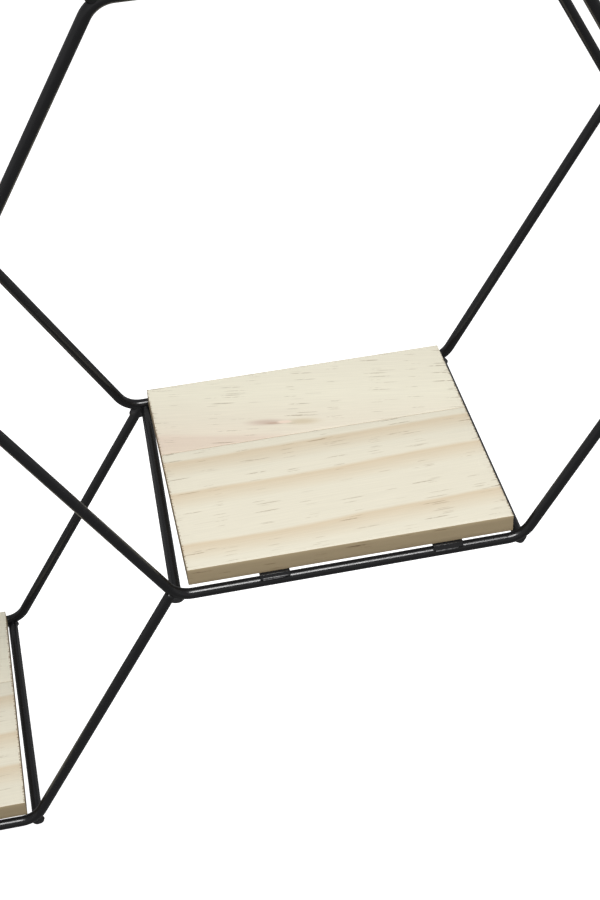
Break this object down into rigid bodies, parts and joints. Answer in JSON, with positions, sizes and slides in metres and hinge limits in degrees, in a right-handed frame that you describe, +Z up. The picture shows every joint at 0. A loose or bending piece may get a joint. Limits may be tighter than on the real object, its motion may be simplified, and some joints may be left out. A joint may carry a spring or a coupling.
{
  "type": "honeycomb wall shelf",
  "caption": "Wall shelf of joined hexagonal cells bent from round black wire, with a thin pine board on the bottom wires of each cell.",
  "frame": {"origin": "on the flat back face of the upper hanger, 3.4 mm above the top of its keyhole slot", "axes": "+Z up; +Y towards the wall, square to it; +X to the right as seen from the room"},
  "size_m": [0.636, 0.1589, 0.6246],
  "materials": {
    "powder_coated_steel": "satin near-black powder coat",
    "pine": "sanded pale pine under a thin matt lacquer",
    "zinc_plated_steel": "bright zinc plate"
  },
  "bodies": {
    "root": {"bar_lower_bottom_left": "powder_coated_steel", "bar_lower_bottom_right": "powder_coated_steel", "bar_lower_side": "powder_coated_steel", "bar_right_bottom_left": "powder_coated_steel", "bar_right_bottom_right": "powder_coated_steel", "bar_right_side": "powder_coated_steel", "bar_right_top_left": "powder_coated_steel", "bar_right_top_right": "powder_coated_steel", "bar_upper_bottom_left": "powder_coated_steel", "bar_upper_bottom_right": "powder_coated_steel", "bar_upper_side": "powder_coated_steel", "bar_upper_top_left": "powder_coated_steel", "bar_upper_top_right": "powder_coated_steel", "front_lower_rod": "powder_coated_steel", "front_ring": "powder_coated_steel", "front_upper_rod": "powder_coated_steel", "hanger_right": "powder_coated_steel", "hanger_upper": "powder_coated_steel", "rear_lower_rod": "powder_coated_steel", "rear_ring": "powder_coated_steel", "rear_upper_rod": "powder_coated_steel", "screw_lower_front_left": "zinc_plated_steel", "screw_lower_front_right": "zinc_plated_steel", "screw_lower_rear_left": "zinc_plated_steel", "screw_lower_rear_right": "zinc_plated_steel", "screw_right_front_left": "zinc_plated_steel", "screw_right_front_right": "zinc_plated_steel", "screw_right_rear_left": "zinc_plated_steel", "screw_right_rear_right": "zinc_plated_steel", "screw_upper_front_left": "zinc_plated_steel", "screw_upper_front_right": "zinc_plated_steel", "screw_upper_rear_left": "zinc_plated_steel", "screw_upper_rear_right": "zinc_plated_steel", "stave_lower_front": "pine", "stave_lower_rear": "pine", "stave_right_front": "pine", "stave_right_rear": "pine", "stave_upper_front": "pine", "stave_upper_rear": "pine", "tab_lower_front_left": "powder_coated_steel", "tab_lower_front_right": "powder_coated_steel", "tab_lower_rear_left": "powder_coated_steel", "tab_lower_rear_right": "powder_coated_steel", "tab_right_front_left": "powder_coated_steel", "tab_right_front_right": "powder_coated_steel", "tab_right_rear_left": "powder_coated_steel", "tab_right_rear_right": "powder_coated_steel", "tab_upper_front_left": "powder_coated_steel", "tab_upper_front_right": "powder_coated_steel", "tab_upper_rear_left": "powder_coated_steel", "tab_upper_rear_right": "powder_coated_steel"}
  },
  "joints": []
}
